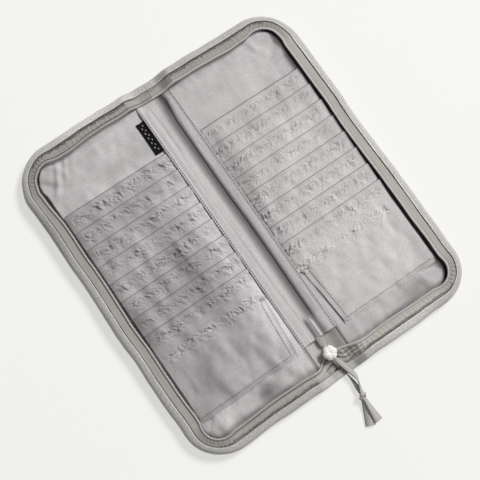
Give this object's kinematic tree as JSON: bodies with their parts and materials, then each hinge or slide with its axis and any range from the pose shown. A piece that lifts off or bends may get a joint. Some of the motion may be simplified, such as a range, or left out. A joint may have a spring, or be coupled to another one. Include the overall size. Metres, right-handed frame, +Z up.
{
  "type": "zip-around passport organiser",
  "caption": "Soft zip-around travel organiser lying open like a book, with rows of stacked slots on both covers, a cloth spine strip, and a zipper slider with a bead and ribbon pull.",
  "frame": {"origin": "middle of the spine's underside, on the table", "axes": "+Y along the spine towards the zipper's start, +X across to the right cover, +Z up out of the open case"},
  "size_m": [0.296, 0.373, 0.0121],
  "materials": {
    "shell_cloth": "matt closely woven nylon",
    "lining_cloth": "silky plain weave with a low sheen",
    "spine_cloth": "fine matt plain weave, a little warmer than the lining",
    "padding_foam": "thin felted foam, hidden",
    "zipper_tape": "herringbone zipper tape",
    "zipper_coil": "fine moulded nylon coil",
    "slider_metal": "satin nickel",
    "carved_bead": "carved off-white resin, softly polished",
    "ribbon_cloth": "satin-faced ribbon",
    "label_cloth": "dense satin-woven label, plain"
  },
  "bodies": {
    "spine": {"spine_shell": "shell_cloth", "spine_lining": "spine_cloth", "spine_strip": "lining_cloth", "zipper_tail": "zipper_coil", "zipper_tail_tab": "zipper_tape", "left_tape_end": "zipper_tape", "right_tape_end": "zipper_tape", "top_tape_bridge": "zipper_tape"},
    "left_cover": {"left_shell": "shell_cloth", "left_padding": "padding_foam", "left_lining": "lining_cloth", "left_pocket_backing": "lining_cloth", "left_pocket_1": "lining_cloth", "left_pocket_2": "lining_cloth", "left_pocket_3": "lining_cloth", "left_pocket_4": "lining_cloth", "left_pocket_5": "lining_cloth", "left_pocket_6": "lining_cloth", "left_pocket_7": "lining_cloth", "left_pocket_8": "lining_cloth", "left_strip_hem": "lining_cloth", "left_zipper_tape": "zipper_tape", "left_zipper_coil": "zipper_coil", "left_top_stop": "slider_metal", "woven_label": "label_cloth"},
    "right_cover": {"right_shell": "shell_cloth", "right_padding": "padding_foam", "right_lining": "lining_cloth", "right_pocket_backing": "lining_cloth", "right_pocket_1": "lining_cloth", "right_pocket_2": "lining_cloth", "right_pocket_3": "lining_cloth", "right_pocket_4": "lining_cloth", "right_pocket_5": "lining_cloth", "right_pocket_6": "lining_cloth", "right_pocket_7": "lining_cloth", "right_pocket_8": "lining_cloth", "right_strip_hem": "lining_cloth", "right_zipper_tape": "zipper_tape", "right_zipper_coil": "zipper_coil", "right_top_stop": "slider_metal"},
    "slider": {"slider_body": "slider_metal", "slider_bail": "slider_metal"},
    "puller": {"puller_link": "slider_metal", "flower_bead": "carved_bead"},
    "ribbon": {"pull_ribbon": "ribbon_cloth"}
  },
  "joints": [
    {"name": "left_cover_fold", "type": "hinge", "parent": "spine", "child": "left_cover", "pos_m": [-0.0122, 0, 0.0005], "axis": [0, -1, 0], "range_deg": [-90, 0]},
    {"name": "right_cover_fold", "type": "hinge", "parent": "spine", "child": "right_cover", "pos_m": [0.0122, 0, 0.0005], "axis": [0, 1, 0], "range_deg": [-90, 0]},
    {"name": "slider_run", "type": "slide", "parent": "spine", "child": "slider", "axis": [0, -1, 0], "range_m": [0, 0.008]},
    {"name": "puller_flip", "type": "hinge", "parent": "slider", "child": "puller", "pos_m": [0, -0.1315, 0.0063], "axis": [-1, 0, 0], "range_deg": [0, 115]},
    {"name": "ribbon_lift", "type": "hinge", "parent": "puller", "child": "ribbon", "pos_m": [0, -0.1436, 0.0063], "axis": [-1, 0, 0], "range_deg": [0, 45]}
  ]
}
